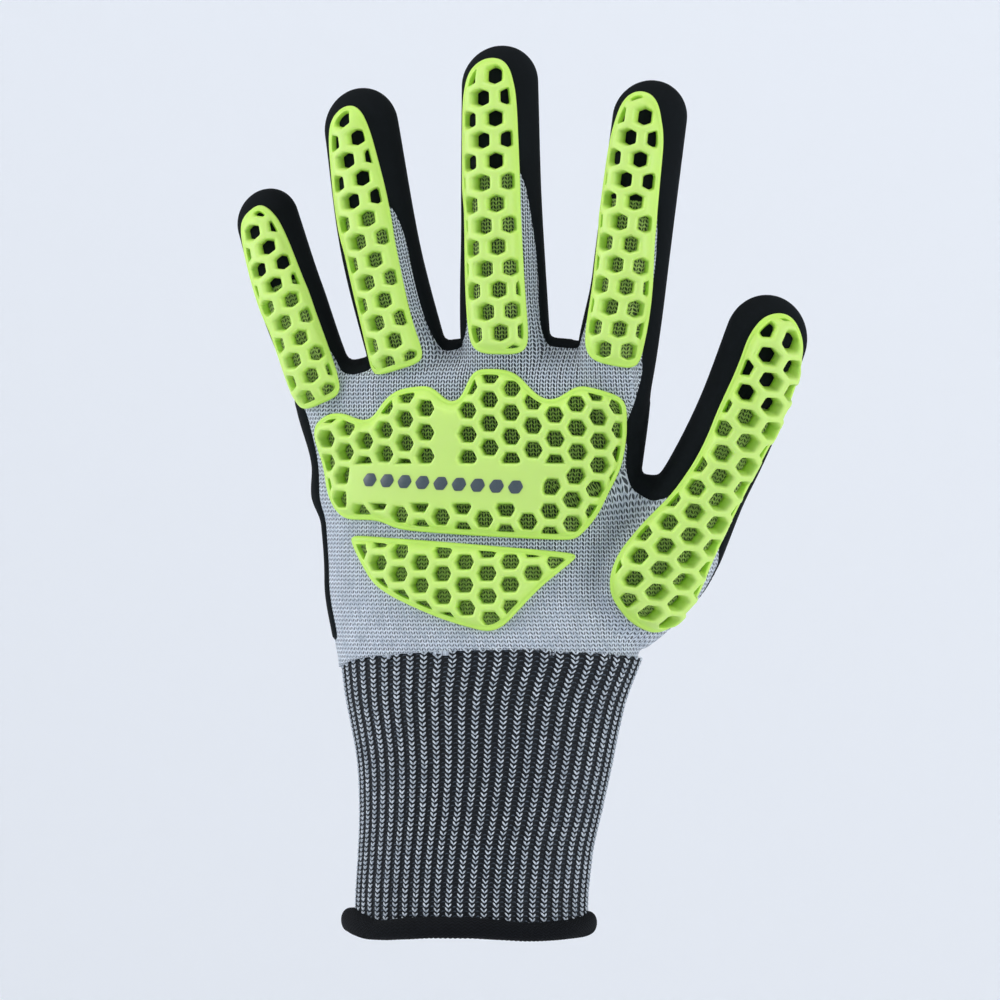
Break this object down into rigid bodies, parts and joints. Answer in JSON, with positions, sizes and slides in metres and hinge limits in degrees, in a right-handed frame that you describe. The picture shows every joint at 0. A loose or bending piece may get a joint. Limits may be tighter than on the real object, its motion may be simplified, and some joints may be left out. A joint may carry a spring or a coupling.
{
  "type": "cut-resistant work glove",
  "caption": "Left-hand knitted work glove with a foam-coated palm and fingertips, a ribbed cuff, and honeycomb rubber guards over the knuckles, fingers and thumb.",
  "frame": {"origin": "middle of the cuff mouth, where the hand goes in", "axes": "+Z from the cuff mouth to the fingertips, -Y out of the back of the hand, +X towards the thumb side"},
  "size_m": [0.1701, 0.0536, 0.2548],
  "materials": {
    "knit_shell": "light grey and charcoal cut-resistant knit",
    "palm_coating": "matt black nitrile foam dip",
    "rib_cuff": "ribbed knit, light grey and black wales in turn",
    "cuff_hem": "black rolled knit edge",
    "guard": "lime thermoplastic rubber, satin"
  },
  "bodies": {
    "root": {"knit_shell": "knit_shell", "palm_coating": "palm_coating", "rib_cuff": "rib_cuff", "cuff_hem": "cuff_hem", "little_finger_guard": "guard", "ring_finger_guard": "guard", "middle_finger_guard": "guard", "index_finger_guard": "guard", "thumb_guard": "guard", "knuckle_guard": "guard", "metacarpal_guard": "guard"}
  },
  "joints": []
}
